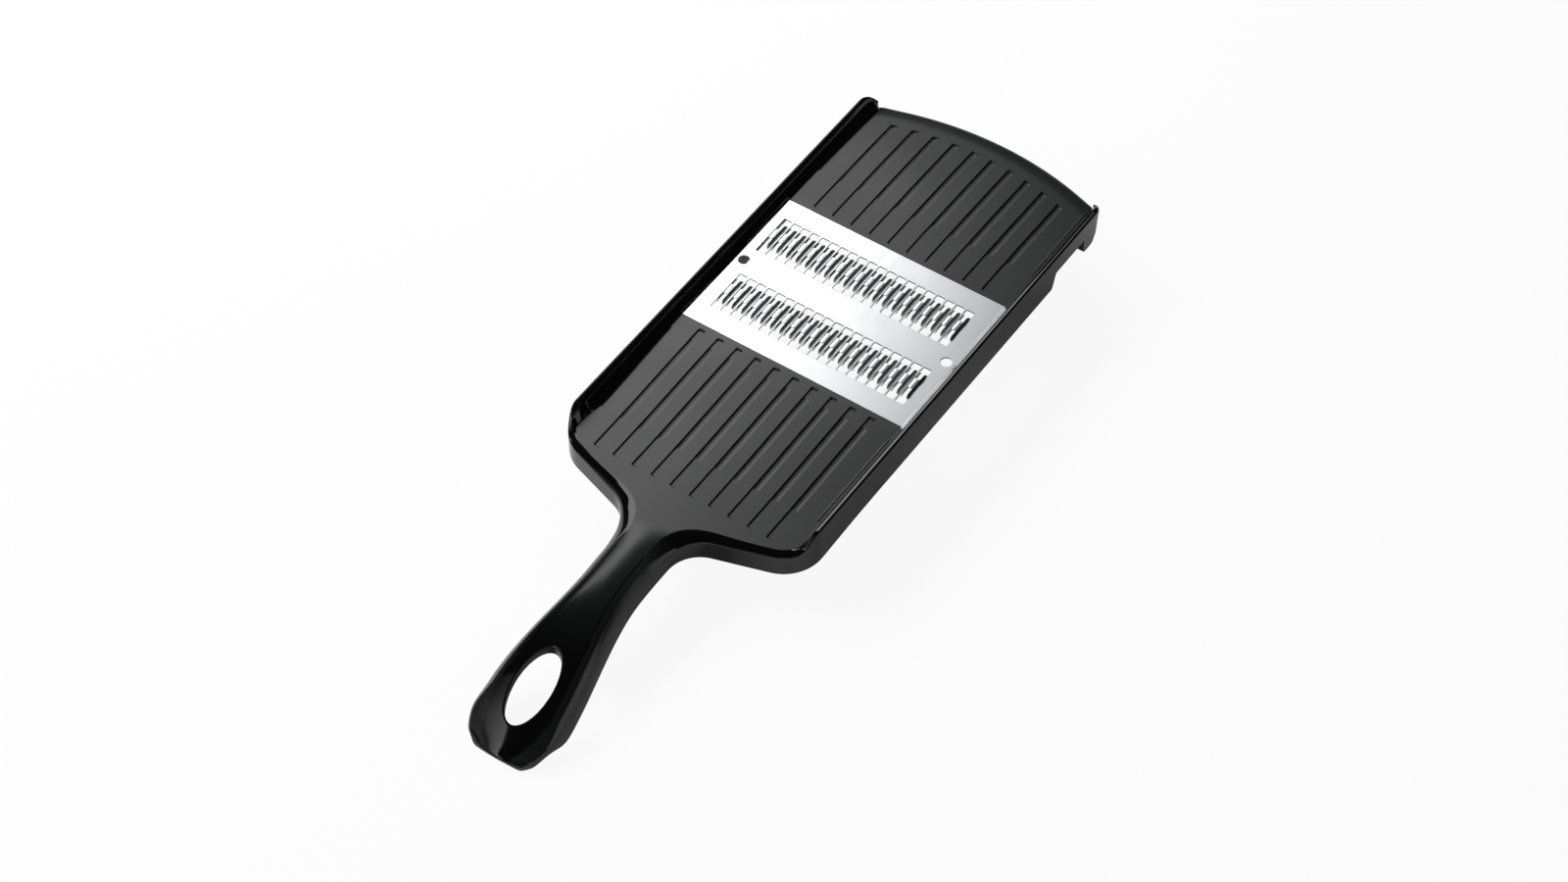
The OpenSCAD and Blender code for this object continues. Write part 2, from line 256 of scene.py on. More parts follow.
    def to_tail(self, y):
        """How much of the thinner tail's section holds at y."""
        return smooth((self.tail_y - y + 6) / (self.tail_len + 1))

    def roll(self, y):
        """Inset of the near end's rounded edge, wider in the fillet to the neck."""
        return blend(self.edge_inset, self.neck_inset, (-self.corner_y - self.roll_len - y) / self.roll_len)

    def inset(self, y):
        """How far the top's edge stands in from the outline."""
        handle = blend(self.roll(y), self.flank_inset, self.to_handle(y))
        return blend(handle, self.tail_inset, self.to_tail(y))

    def depth(self, y):
        """From the top down to the lower edge."""
        flat = self.top(y) - self.skirt_z
        deeper = smooth((self.deep_y - y) / self.deep_len)
        return blend(lerp(flat, self.handle_d, deeper), self.tail_t, self.to_tail(y))

    def shell(self, y):
        """Thickness of the top's wall."""
        handle = blend(self.deck_t, self.handle_t, self.to_handle(y))
        return blend(handle, self.tail_t - 0.5, self.to_tail(y))

    def crown(self, y):
        """How far the handle's top falls from its middle to its edge."""
        return self.handle_crown * self.to_handle(y)

    # rows ---------------------------------------------------------------------

    def bow(self, x):
        """How far the far edge's arc has curved back at x."""
        return self.far_r - math.sqrt(self.far_r ** 2 - x * x)

    def follow(self, v):
        """How much a row follows the far arc: 0 for a straight row, 1 for a row along the arc."""
        return smooth((v - self.arc_from) / self.arc_len)

    def beam_y(self, v):
        """Where row v crosses a side beam."""
        return v - self.bow(self.foot_x) * self.follow(v)

    def row_at(self, y):
        """The row that crosses a side beam at y."""
        low, high = y, y + 12
        for _ in range(40):
            mid = (low + high) / 2
            low, high = (mid, high) if self.beam_y(mid) < y else (low, mid)
        return (low + high) / 2

    def nose_v(self):
        """The row through the middle of the far corner's round."""
        return self.row_at(self.nose_y)

    def foot(self, y):
        """Where the foot of a rail stands."""
        out = self.foot_out * smooth((self.foot_out_y - y) / self.foot_out_len)
        return self.foot_x + self.foot_lean * self.top(y) + out

    def nose_shares(self, y):
        """How much of a rail's inner and outer half is left at its rounded far end."""
        inner = 1 - ellipse_drop((y - self.nose_y + self.nose_in) / self.nose_in)
        outer = 1 - ellipse_drop((y - self.round_y) / (self.nose_y - self.round_y))
        return inner, outer

    def squeeze(self, x, y):
        """Draws x in towards the tip of the rail's far end."""
        inner, outer = self.nose_shares(y)
        return self.nose_x + (x - self.nose_x) * (inner if x < self.nose_x else outer)

    def rail_fall(self, y):
        """How far the rail's top has come down at its two ends."""
        far = ellipse_drop((y - self.far_fall_y) / (self.nose_y - self.far_fall_y + 0.3))
        near = smooth((self.near_fall_y - y) / self.near_fall_len)
        return self.far_fall * far + self.near_fall * near

    def lower_edge(self, w, low):
        """The rounded lower edge of a side whose outer face is at w."""
        r = self.lower_r
        return [(w - r * (1 - math.cos(math.radians(a))), low + r * (1 - math.sin(math.radians(a))))
                for a in (0, 30, 60, 90)]

    def skirt_low(self, y):
        """Height of the lower edge of a side beam."""
        if y >= self.hook_y:
            low = self.hook_z + self.hook_r * ellipse_drop((self.hook_r - (y - self.hook_y)) / self.hook_r)
            return low + self.tip_rise * ellipse_drop((y - self.tip_y) / self.tip_len)
        if y > self.notch_y - self.notch_len:
            return blend(self.notch_z, self.skirt_z, (self.notch_y - y) / self.notch_len)
        return self.top(y) - self.depth(y) if y < 0 else self.skirt_z


def groove_steps():
    """Places across the edge of a groove, from outside it to its floor."""
    return (-0.16, -0.03, 0.05, 0.13, 0.2, 0.32)


def body_columns(form):
    """Places of the deck's columns, from the middle to the foot of the rail."""
    xs = [0.0]
    for k in range(form.groove_n):
        middle = (k + 0.5) * form.groove_pitch
        steps = [form.groove_half - s for s in groove_steps()]
        xs += [middle - s for s in steps] + [middle] + [middle + s for s in reversed(steps)]
        if k < form.groove_n - 1:
            xs.append((k + 1) * form.groove_pitch)
    return sorted(xs) + [42.4, 44.4, 46.3, 47.8, 48.8, form.foot_x]


def body_rows(form):
    """The rows of the body from the far edge to the handle's end, as (place, kind)."""
    nose = form.nose_v()
    rows = [(v, "edge") for v in (111, 110.96, 110.85, 110.65, 110.35, 110.0, 109.6, 109.25, nose + 0.001)]
    for e in (0, 0.03, 0.12, 0.27, 0.5, 0.8, 1.2, 1.7, 2.3, 3.0, 3.8, 4.6, 5.4, 6.2):
        rows.append((form.row_at(form.nose_y - e), "beam"))
    rows += [(v, "beam") for v in (102.2, 101.6, 101.0)]
    rows += [(form.groove_far - s, "beam") for s in groove_steps() + (0.7, 1.1)]
    rows += [(form.row_at(form.hook_y + e), "beam") for e in (4, 1.6, 1.1, 0.6, 0.25, 0.05, 0.0)]
    rows.append((form.row_at(form.hook_y - 0.03), "beam"))
    notch = (80, 75, 70, 66, 64.9, 64.3, 63.8, 63.3, 62.8, 62.3, 61.7, 56, 50)
    rows += [(form.row_at(y), "beam") for y in notch]
    rows += [(v, "beam") for v in (46, 42)]
    rows += [(form.groove_gap + s, "beam") for s in (1.1, 0.7) + tuple(reversed(groove_steps()))]
    rows += [(v, "beam") for v in (37.1, 36.4, form.seat_y)]
    rows += [(form.seat_y - 0.01, "seat"), (34.2, "seat"), (form.ledge_y, "seat")]
    rows += [(16, "open"), (0, "open"), (-16, "open")]
    rows += [(-form.ledge_y, "seat"), (-34.2, "seat"), (-form.seat_y + 0.01, "seat")]
    rows += [(v, "beam") for v in (-form.seat_y, -36.4, -37.1)]
    rows += [(-form.groove_gap - s, "beam") for s in groove_steps() + (0.7, 1.1)]
    rows += [(v, "beam") for v in (-44, -52, -60, -68, -76, -84, -90, -94)]
    rows += [(-94 - 0.8 * k, "beam") for k in range(1, 14)]
    rows += [(-form.groove_near + s, "beam") for s in (0.7,) + tuple(reversed(groove_steps()))]
    y = -form.groove_near - 0.7
    tip = form.hole_y + form.hole_half
    for end, step in ((-124, 0.7), (-140, 1.0), (tip + 2.4, 1.9)):
        while y > end:
            rows.append((y, "beam"))
            y -= step
    near_tip = (2.0, 1.3, 0.8, 0.5, 0.3, 0.15, 0.05)
    rows += [(tip + s, "beam") for s in near_tip]
    angles = [math.radians(a) for a in (0, 3, 7, 12, 18, 25, 33, 42, 52, 62, 73, 84)]
    turned = angles + [math.pi / 2] + [math.pi - a for a in reversed(angles)]
    rows += [(form.hole_y + form.hole_half * math.cos(a), "hole") for a in turned]
    foot = form.hole_y - form.hole_half
    rows += [(foot - s, "beam") for s in reversed(near_tip)]
    y = foot - 3.0
    while y > form.end_y + 2.2:
        rows.append((y, "beam"))
        y -= 1.0
    rows += [(form.end_y + s, "beam") for s in (1.6, 1.1, 0.7, 0.4, 0.18, 0.05, 0.0)]
    return rows


class BodySkin:
    """Gives each grid place of the body's outer and inner skins its point."""

    side_n, wall_n = 14, 6

    def __init__(self, form):
        self.form = form
        self.columns = body_columns(form)
        self.deck_n = len(self.columns)
        self.width = self.deck_n + self.side_n + self.wall_n
        self.rows = body_rows(form)

    # where a row meets the foot of the rail, and the columns before it ------------

    def deck_edge(self, v, kind):
        """(x, y) of the last deck column in row v."""
        f = self.form
        if kind == "edge":
            turn = f.cor_end * min(1.0, max(0.0, (v - f.nose_v()) / (f.far_y - f.nose_v())))
            return f.cor_x + f.nose_r * math.cos(turn), f.nose_y + f.nose_r * math.sin(turn)
        y = f.beam_y(v) if v > 0 else v
        if y > 0:
            return f.squeeze(f.foot(y), y), y
        if y > f.neck_y + 22:
            return min(f.foot(y), f.half(y, f.roll(y))), y
        return f.half(y, f.inset(y)), y

    def deck_place(self, j, v, kind):
        """(x, y) of deck column j in row v."""
        f = self.form
        edge_x, edge_y = self.deck_edge(v, kind)
        flat = self.columns[j]
        if v > f.deck_end:
            keep = f.flat_x
            x = flat if flat <= keep else lerp(keep, edge_x, (flat - keep) / (f.foot_x - keep))
        else:
            start = self.hole_edge(v) if kind == "hole" else 0.0
            share = flat / f.foot_x
            near = smooth((f.deck_end - v) / 30)
            keep = lerp(f.flat_x, min(f.flat_x, 0.8 * edge_x), smooth((f.deck_end - v) / 6))
            wide = flat * keep / f.flat_x
            if flat > f.flat_x:
                wide = lerp(keep, edge_x, (flat - f.flat_x) / (f.foot_x - f.flat_x))
            even = lerp(start, edge_x, lerp(share, share ** 2.2, 0.65))
            x = lerp(wide, even, near)
        if v <= 0:
            return x, v
        y = v - f.bow(x) * f.follow(v)
        share = max(0.0, (x - f.flat_x) / (edge_x - f.flat_x))
        off = edge_y - (v - f.bow(edge_x) * f.follow(v))
        return x, y + off * share * share

    def hole_edge(self, y):
        """Half width of the hanging hole at y."""
        f = self.form
        return f.hole_x * math.sqrt(max(0.0, 1 - ((y - f.hole_y) / f.hole_half) ** 2))

    # heights ---------------------------------------------------------------------

    def groove(self, x, y, v):
        """How deep the nearest groove is at a place."""
        f = self.form
        k = min(f.groove_n - 1, int(abs(x) / f.groove_pitch))
        across = abs(abs(x) - (k + 0.5) * f.groove_pitch)
        if v > 0:
            along = abs(v - (f.groove_far + f.groove_gap) / 2) - (f.groove_far - f.groove_gap) / 2
        else:
            along = abs(y + (f.groove_near + f.groove_gap) / 2) - (f.groove_near - f.groove_gap) / 2
        qx = across - f.groove_half + f.groove_round
        qy = along + f.groove_round
        inside = f.groove_round - math.hypot(max(qx, 0.0), max(qy, 0.0)) - min(max(qx, qy), 0.0)
        return f.groove_deep * smooth((inside + 0.03) / 0.26)

    def deck_height(self, x, y, v, kind):
        """Height of the deck or of the handle's top at a place."""
        f = self.form
        edge_x = self.deck_edge(v, kind)[0]
        z = f.top(y) - f.crown(y) * (x / edge_x) ** 2
        if v > 0:
            drop = ellipse_drop((f.far_roll - (f.far_y - v)) / f.far_roll)
            if kind == "edge" and x > f.cor_x:
                off = f.nose_r - math.hypot(x - f.cor_x, y - f.nose_y)
                share = smooth(2 * (v - f.nose_v()) / (f.far_y - f.nose_v()))
                drop = max(drop, share * ellipse_drop((f.nose_r - off) / f.nose_r))
            z -= f.roll_drop * drop
        if -f.groove_near - 1 < v < f.groove_far + 1:
            z -= self.groove(x, y, v)
        if y < f.hole_y + f.hole_half + 2:
            z -= self.rim_drop(x, y)
        if y < f.end_y + f.end_r:
            z -= f.end_drop * ellipse_drop((f.end_y + f.end_r - y) / f.end_r)
        return z

    def rim_drop(self, x, y):
        """The rounded rim of the hanging hole."""
        f = self.form
        far = math.hypot(x / f.hole_x, (y - f.hole_y) / f.hole_half)
        if far < 0.2:
            return 0.0
        slope = math.hypot(x / f.hole_x ** 2, (y - f.hole_y) / f.hole_half ** 2) / far
        off = (far - 1) / slope
        return f.rim_r * ellipse_drop((f.rim_r - max(0.0, off)) / f.rim_r)

    # the side: from the deck's edge over the rail or the rounded edge to the lower edge -----

    # The rail's top, as (distance in from the wall, height): a small inner round, a crown, the outer round.
    rail_top = ((2.34, 4.8), (2.2, 4.98), (2.0, 5.06), (1.6, 5.16), (1.2, 5.25), (0.9, 5.31),
                (0.78, 5.3), (0.36, 5.02), (0.08, 4.66), (0.0, 4.25))
    # The handle's flank, as shares of its inset and of its fall.
    flank = ((0.03, 0.0), (0.08, 0.015), (0.14, 0.045), (0.18, 0.069), (0.22, 0.095), (0.28, 0.135),
             (0.34, 0.18), (0.41, 0.233), (0.48, 0.29), (0.62, 0.42), (0.75, 0.55), (0.86, 0.68),
             (0.93, 0.78), (0.97, 0.86), (0.985, 0.9), (0.995, 0.94), (1.0, 0.965), (0.995, 0.985),
             (0.97, 0.996), (0.93, 1.0))
    # Places across the near end's gloss band.
    band = (0.03, 0.15, 0.3, 0.45, 0.6, 0.72, 0.82, 0.9, 0.96, 1.0)

    def rail_side(self, foot, y):
        """The rail's inner face, its top and the wall. Its ends come down."""
        f = self.form
        low, w, fall = f.skirt_low(y), f.half_w if y > 0 else f.half(y), f.rail_fall(y)
        thin = min(1.0, max(0.05, (w - foot[0]) / (f.half_w - f.foot_x)))
        head = (f.squeeze(w - f.rail_top_w * thin, y), f.rail_inner_z - fall)
        side = [(lerp(foot[0], head[0], t), lerp(foot[1], head[1], t)) for t in (0.04, 0.4, 0.8, 1.0)]
        side += [(w - d * thin, z - fall) for d, z in self.rail_top]
        side += [(w, f.rail_outer_z - fall), (w, low + f.lower_rise)] + f.lower_edge(w, low)
        return [(f.squeeze(x, y) if k > 3 else x, z) for k, (x, z) in enumerate(side)]

    def band_side(self, foot, y):
        """The near end's gloss band, its crisp outer round and the wall."""
        f = self.form
        w, low, r, drop = f.half(y), f.top(y) - f.depth(y), 0.5, 0.8
        side = [(lerp(foot[0], w - r, s), foot[1] - drop * s ** 1.25) for s in self.band]
        for k in range(1, 5):
            a = math.pi / 2 * k / 4
            side.append((w - r + r * math.sin(a), foot[1] - drop - r * (1 - math.cos(a))))
        return side + [(w, side[-1][1] - 0.15), (w, low + f.lower_rise)] + f.lower_edge(w, low)

    def edge_side(self, foot, y):
        """The wide round where the near end runs into the neck, and its wall."""
        f = self.form
        w = f.half(y)
        side = []
        for k in range(1, self.side_n + 1):
            a = math.pi / 2 * k / self.side_n
            side.append((lerp(foot[0], w, math.sin(a)), foot[1] - f.edge_roll * (1 - math.cos(a))))
        top, low = side[-1][1], f.top(y) - f.depth(y)
        return side + [(w, lerp(top, low, 0.1)), (w, low + f.lower_rise)] + f.lower_edge(w, low)

    def flank_side(self, foot, y):
        """The handle's crisp upper edge and its bulging flank."""
        f = self.form
        w, top = f.half(y), f.top(y)
        low = top - f.depth(y)
        inset, fall = w - foot[0], foot[1] - low
        return [(foot[0] + inset * u, foot[1] - fall * t) for u, t in self.flank]

    def side(self, v, kind):
        """Every side point of row v as (x, y, height)."""
        f = self.form
        x, y = self.deck_edge(v, kind)
        foot = (x, self.deck_height(x, y, v, kind))
        if kind == "edge":
            low = f.top(y) - f.deck_t
            return [(x, y, foot[1])] * self.side_n + \
                [(x, y, lerp(foot[1], low, (k + 1) / self.wall_n)) for k in range(self.wall_n)]
        if y > f.rail_end_y:
            pts = self.rail_side(foot, y)
        elif y > f.band_y:
            share = smooth((f.band_y + f.band_len - y) / f.band_len)
            pts = self.mixed(self.rail_side(foot, y), self.band_side(foot, y), share)
        elif y > f.handle_y:
            share = smooth((f.edge_y - y) / f.edge_len)
            pts = self.mixed(self.band_side(foot, y), self.edge_side(foot, y), share)
        else:
            pts = self.mixed(self.edge_side(foot, y), self.flank_side(foot, y), f.to_handle(y))
        return [(px, y, pz) for px, pz in pts]

    @staticmethod
    def mixed(one, other, t):
        """A side between two sides."""
        return [(lerp(a[0], b[0], t), lerp(a[1], b[1], t)) for a, b in zip(one, other)]

    # the inner skin ------------------------------------------------------------------

    def inner_side(self, v, kind, outer):
        """Every inner point of row v's side, from under the deck's edge to the lower edge."""
        f = self.form
        x, y = self.deck_edge(v, kind)
        n = self.side_n + self.wall_n
        last = outer[-1]
        under = f.top(y) - f.shell(y)
        if kind == "edge":
            return [(x, y, last[2])] * n
        if y > -96:
            low = f.skirt_low(y)
            root = (min(f.beam_in, x + 0.3) - 0.4, under)
            cored = -94 < y < f.hook_y - 24 or f.hook_y + 2 < y < f.round_y - 2.5
            core = f.core_z if cored else low
            pts = [root, (f.beam_in - 0.12, under - 0.12), (f.beam_in, under - 0.5)]
            pts += [(f.beam_in, lerp(under - 0.5, low, t)) for t in (0.2, 0.4, 0.6, 0.8, 0.9)]
            pts.append((f.beam_in, min(under - 0.5, low + 0.3)))
            pts += [(f.beam_in + 0.1, low + 0.08), (f.beam_in + 0.3, low)]
            pts += [(f.core_in, low), (f.core_in, core), (f.core_out, core), (f.core_out, low)]
            end = f.half_w - f.lower_r if y > 0 else last[0]
            pts += [(lerp(f.core_out, end, t), low) for t in (0.2, 0.4, 0.6, 0.8, 1.0)]
            return [(f.squeeze(px, y), y, min(pz, under)) for px, pz in pts]
        w, low = f.half(y), last[2]
        inner_w = w - f.wall
        root_x = min(max(x - 0.7, 1.0), inner_w - 1.2)
        pts = []
        for k in range(11):
            t = (k + 1) / 11
            pts.append((lerp(root_x, inner_w, math.sin(t * math.pi / 2)),
                        lerp(under, low, 0.55 * (1 - math.cos(t * math.pi / 2)))))
        pts += [(inner_w, lerp(under, low, t)) for t in (0.7, 0.85, 0.95)]
        pts += [(inner_w + 0.1, low + 0.02), (inner_w + 0.35, low)]
        pts += [(lerp(inner_w + 0.35, last[0], t), low) for t in (0.3, 0.6, 0.9, 1.0)]
        return [(px, y, pz) for px, pz in pts]

    # grids -----------------------------------------------------------------------------

    def lean(self, point):
        """Both ends are cut at a slant, so that lower points stand back from them."""
        f = self.form
        x, y, z = point
        y += 0.2 * min(0.0, z + 2.0) * smooth((y - 88) / 9)
        return x, y + 0.7 * (f.top(y) - z) * smooth((f.end_y + 6 - y) / 6), z

    def outer_row(self, v, kind):
        """Row v of the outer skin, from the middle to the lower edge."""
        row = []
        for j in range(self.deck_n):
            x, y = self.deck_place(j, v, kind)
            z = self.deck_height(x, y, v, kind)
            if kind == "seat":
                z = -self.form.sheet
            row.append((x, y, z))
        return row + self.side(v, kind)

    def inner_row(self, v, kind, outer):
        """Row v of the inner skin, place for place under the outer row."""
        f = self.form
        side = self.inner_side(v, kind, outer)
        row = []
        edge = outer[self.deck_n - 1][0]
        for j in range(self.deck_n):
            x, y, _ = outer[j]
            start = self.hole_edge(v) if kind == "hole" else 0.0
            px = start + (x - start) * (side[0][0] - start) / max(0.001, edge - start)
            z = f.top(y) - f.shell(y) - 0.5 * f.crown(y) * (x / max(edge, 1.0)) ** 2
            if kind == "edge" or v > 103:
                z = min(z, outer[j][2] - 0.3)
            if y < f.end_y + f.end_r:
                z = max(z, f.top(f.end_y) - f.tail_t)
            row.append((px, y, z))
        return row + side


def skin_grid(skin, mesh_rows):
    """A bmesh sheet from a grid whose places are moved to the rows' points."""
    bm = bmesh.new()
    bmesh.ops.create_grid(bm, x_segments=skin.width - 1, y_segments=len(mesh_rows) - 1, size=1.0)
    bm.verts.ensure_lookup_table()
    place = bm.verts.layers.int.new("place")
    across = skin.width
    for i, row in enumerate(mesh_rows):
        for j, point in enumerate(row):
            v = bm.verts[i * across + j]
            v.co = to_metres(*point)
            v[place] = i * across + j
    return bm


def drop_plate_opening(bm, skin):
    """Takes away the deck's faces where the plate's seat is open."""
    across = skin.width
    ledge = skin.form.ledge_y + 0.001
    place = bm.verts.layers.int["place"]
    gone = []
    for face in bm.faces:
        ids = [v[place] for v in face.verts]
        in_deck = max(i % across for i in ids) < skin.deck_n
        if in_deck and all(abs(skin.rows[i // across][0]) <= ledge for i in ids):
            gone.append(face)
    bmesh.ops.delete(bm, geom=gone, context="FACES")


def build_body(form):
    """The moulded body as one closed mesh."""
    skin = BodySkin(form)
    outer_rows = [skin.outer_row(v, kind) for v, kind in skin.rows]
    inner_rows = [skin.inner_row(v, kind, row) for (v, kind), row in zip(skin.rows, outer_rows)]
    outer_rows, inner_rows = ([[skin.lean(p) for p in row] for row in rows]
                              for rows in (outer_rows, inner_rows))
    bm = skin_grid(skin, outer_rows)
    inner = skin_grid(skin, inner_rows)
    bmesh.ops.reverse_faces(bm, faces=bm.faces)
    drop_plate_opening(bm, skin)
    drop_plate_opening(inner, skin)
    # The two grids match, so each open edge of the outer skin has a twin in the inner one.
    place = bm.verts.layers.int["place"]
    inner_place = inner.verts.layers.int["place"]
    rim = [e for e in bm.edges if e.is_boundary]
    twin = {v[inner_place]: bm.verts.new(v.co) for v in inner.verts}
    for face in inner.faces:
        bm.faces.new([twin[v[inner_place]] for v in face.verts])
    inner.free()
    for e in rim:
        loop = e.link_loops[0]
        first, second = loop.vert, loop.link_loop_next.vert
        middle = all(v[place] % skin.width == 0 for v in (first, second))
        rows = [v[place] // skin.width for v in (first, second)]
        if middle and not all(skin.rows[r][1] == "hole" for r in rows):
            continue
        bm.faces.new([second, first, twin[first[place]], twin[second[place]]])
    bmesh.ops.remove_doubles(bm, verts=bm.verts, dist=0.000002)
    bmesh.ops.dissolve_degenerate(bm, dist=0.000002, edges=bm.edges)
    geom = bm.verts[:] + bm.edges[:] + bm.faces[:]
    bmesh.ops.mirror(bm, geom=geom, matrix=Matrix.Identity(4), merge_dist=0.000004, axis="X")
    # The mirrored half comes out inside out.
    bmesh.ops.recalc_face_normals(bm, faces=bm.faces[:])
    return bm


# ---------------------------------------------------------------- the blade plate's form

HALF_LEN, HALF_WIDE = 36.15, 51.5
PILOT_X, PILOT_R = 46.3, 2.3
CUTTER_N, WINDOW_W, WINDOW_LEN, ROW_Y, ROW_SHIFT = 20, 3.65, 20.0, 16.7, -0.6
# The left edge of a cutter stands in from its window's wall, at this share of the right edge's place.
EDGE_LEN, STRAP_LEN, LEFT_SHARE = 13.6, 5.0, 0.72
SKEW = Vector((1.0, 0.7137, 0.3171))


def window_places(pitch):
    """The middle of every window of both rows."""
    return [((k - (CUTTER_N - 1) / 2) * pitch + ROW_SHIFT - row * pitch / 4, row * ROW_Y)
            for row in (-1, 1) for k in range(CUTTER_N)]


def add_outline(bm, x, y, wide, long, corner):
    """Adds a rounded rectangle's edges at the sheet's top face."""
    made = bmesh.ops.create_grid(bm, x_segments=1, y_segments=1, size=0.5)["verts"]
    bmesh.ops.scale(bm, vec=(wide, long, 1.0), verts=made)
    bmesh.ops.translate(bm, vec=(x, y, 0.0), verts=made)
    faces = list({f for v in made for f in v.link_faces})
    out = bmesh.ops.bevel(bm, geom=made, offset=corner, offset_type="OFFSET", segments=3,
                          profile=0.5, affect="VERTICES", material=-1)
    faces = list({f for v in out["verts"] for f in v.link_faces}) or faces
    bmesh.ops.delete(bm, geom=faces, context="FACES_ONLY")


def build_sheet(pitch, sheet):
    """The plate's sheet with its windows and pilot holes, in millimetres."""
    bm = bmesh.new()
    add_outline(bm, 0, 0, 2 * HALF_WIDE, 2 * HALF_LEN, 0.6)
    for x, y in window_places(pitch):
        add_outline(bm, x, y, WINDOW_W, WINDOW_LEN, 0.45)
    for side in (-1, 1):
        bmesh.ops.create_circle(bm, cap_ends=False, segments=48, radius=PILOT_R,
                                matrix=Matrix.Translation((side * PILOT_X, 0, 0)))
    bmesh.ops.triangle_fill(bm, edges=bm.edges[:], use_beauty=True, use_dissolve=False, normal=(0, 0, 1))
    bmesh.ops.recalc_face_normals(bm, faces=bm.faces[:])
    if bm.faces[:] and bm.faces[:][0].normal.z < 0:
        bmesh.ops.reverse_faces(bm, faces=bm.faces[:])
    under = bmesh.ops.extrude_face_region(bm, geom=bm.faces[:], use_keep_orig=True)["geom"]
    low = [g for g in under if isinstance(g, bmesh.types.BMVert)]
    bmesh.ops.translate(bm, vec=(0, 0, -sheet), verts=low)
    bmesh.ops.recalc_face_normals(bm, faces=bm.faces[:])
    rims = [e for e in bm.edges if len(e.link_faces) == 2 and e.calc_face_angle() > 1.0
            and min(v.co.z for v in e.verts) > -0.01]
    bmesh.ops.bevel(bm, geom=rims, offset=0.13, offset_type="OFFSET", segments=2, profile=0.5,
                    affect="EDGES", material=-1)
    return bm


def cutter_section(height):
    """One side of a cutter, from its foot up.

    The first list is where the strap crosses, the second where the edge stands alone.
    """
    foot, head, top = 1.64, 1.25, height - 0.03
    low = [(WINDOW_W / 2 + 0.1, -0.3), (1.74, -0.02), (foot, 0.35)]
    strap = low + [(lerp(foot, head, t), lerp(0.35, top - 0.16, t)) for t in (0.45, 0.8, 1.0)]
    strap += [(head - 0.07, top - 0.04), (head - 0.22, top), (0.0, top + 0.02)]
    edge = low + [(lerp(foot, head, t), lerp(0.35, height, t)) for t in (0.45, 0.75, 0.9, 0.96, 1.0)]
    return strap, edge


def cutter_height_share(y):
    """A cutter's edges are slanted down at their ends."""
    return lerp(0.2, 1.0, min(1.0, (EDGE_LEN / 2 - abs(y)) / 1.3))


def build_cutter(height, sheet):
    """One cutter: two leaning edges with a strap across their middle, in millimetres."""
    strap, ears = cutter_section(height)
    half = STRAP_LEN / 2
    rows = [(EDGE_LEN / 2, 1), (EDGE_LEN / 2 - 0.6, 1), (EDGE_LEN / 2 - 1.3, 1), (half + 1.0, 1),
            (half + 0.5, 0.8), (half + 0.2, 0.4), (half, 0.0), (half - 0.2, 0.0)]
    rows = [(-y, t) for y, t in rows] + [(0.0, 0.0)] + rows[::-1]
    n = len(strap)
    across = 2 * n - 1
    bm = bmesh.new()
    bmesh.ops.create_grid(bm, x_segments=across - 1, y_segments=len(rows) - 1, size=1.0)
    bm.verts.ensure_lookup_table()
    for i, (y, t) in enumerate(rows):
        for j in range(across):
            k = min(j, across - 1 - j)
            side = -LEFT_SHARE if j < n else 1
            sx, sz = strap[k]
            if k < n - 1:
                sx, sz = lerp(sx, ears[k][0], t), lerp(sz, ears[k][1], t)
            if sz > 0:
                sz *= cutter_height_share(y)
            bm.verts[i * across + j].co = (side * sx, y, sz)
    gone = []
    bm.verts.index_update()
    for f in bm.faces:
        ids = [v.index for v in f.verts]
        cols = [i % across for i in ids]
        lines = [i // across for i in ids]
        if n - 2 <= min(cols) and max(cols) <= n and max(abs(rows[r][0]) for r in lines) > half + 0.01:
            gone.append(f)
    bmesh.ops.delete(bm, geom=gone, context="FACES")
    bmesh.ops.recalc_face_normals(bm, faces=bm.faces[:])
    if sum(f.normal.z for f in bm.faces) < 0:
        bmesh.ops.reverse_faces(bm, faces=bm.faces[:])
    bmesh.ops.solidify(bm, geom=bm.faces[:], thickness=0.6 * sheet)
    bmesh.ops.recalc_face_normals(bm, faces=bm.faces[:])
    return bm


def take_mesh(bm, name):
    """Turns a bmesh into a mesh and frees it."""
    mesh = bpy.data.meshes.new(name)
    bm.to_mesh(mesh)
    bm.free()
    return mesh


def build_plate(sizes):
    """The blade plate: the sheet and all its cutters."""
    pitch, sheet, height = sizes.cutter_pitch / MM, sizes.sheet / MM, sizes.cutter_height / MM
    flat = take_mesh(build_sheet(pitch, sheet), "sheet")
    one = take_mesh(build_cutter(height, sheet), "cutter")
    bm = bmesh.new()
    for x, y in window_places(pitch):
        before = len(bm.verts)
        bm.from_mesh(one)
        bm.verts.ensure_lookup_table()
        bmesh.ops.translate(bm, vec=(x, y, 0), verts=bm.verts[before:])
    bm.from_mesh(flat)
    for mesh in (flat, one):
        bpy.data.meshes.remove(mesh)
    # Solidify makes its rims in no fixed order, so the faces are sorted along a skew line.
    bm.faces.sort(key=lambda face: face.calc_center_median().dot(SKEW))
    bmesh.ops.scale(bm, vec=(MM, MM, MM), verts=bm.verts[:])
    bmesh.ops.translate(bm, vec=SEAT, verts=bm.verts[:])
    return bm


# ---------------------------------------------------------------- materials


def new_material(name, colour):
    """An empty material with a Principled shader: (material, nodes, links, shader)."""
    mat = bpy.data.materials.new(name)
    mat.use_nodes = True
    mat.diffuse_color = (*colour, 1.0)
    nodes, links = mat.node_tree.nodes, mat.node_tree.links
    shader = nodes["Principled BSDF"]
    shader.inputs["Base Color"].default_value = (*colour, 1.0)
    return mat, nodes, links, shader


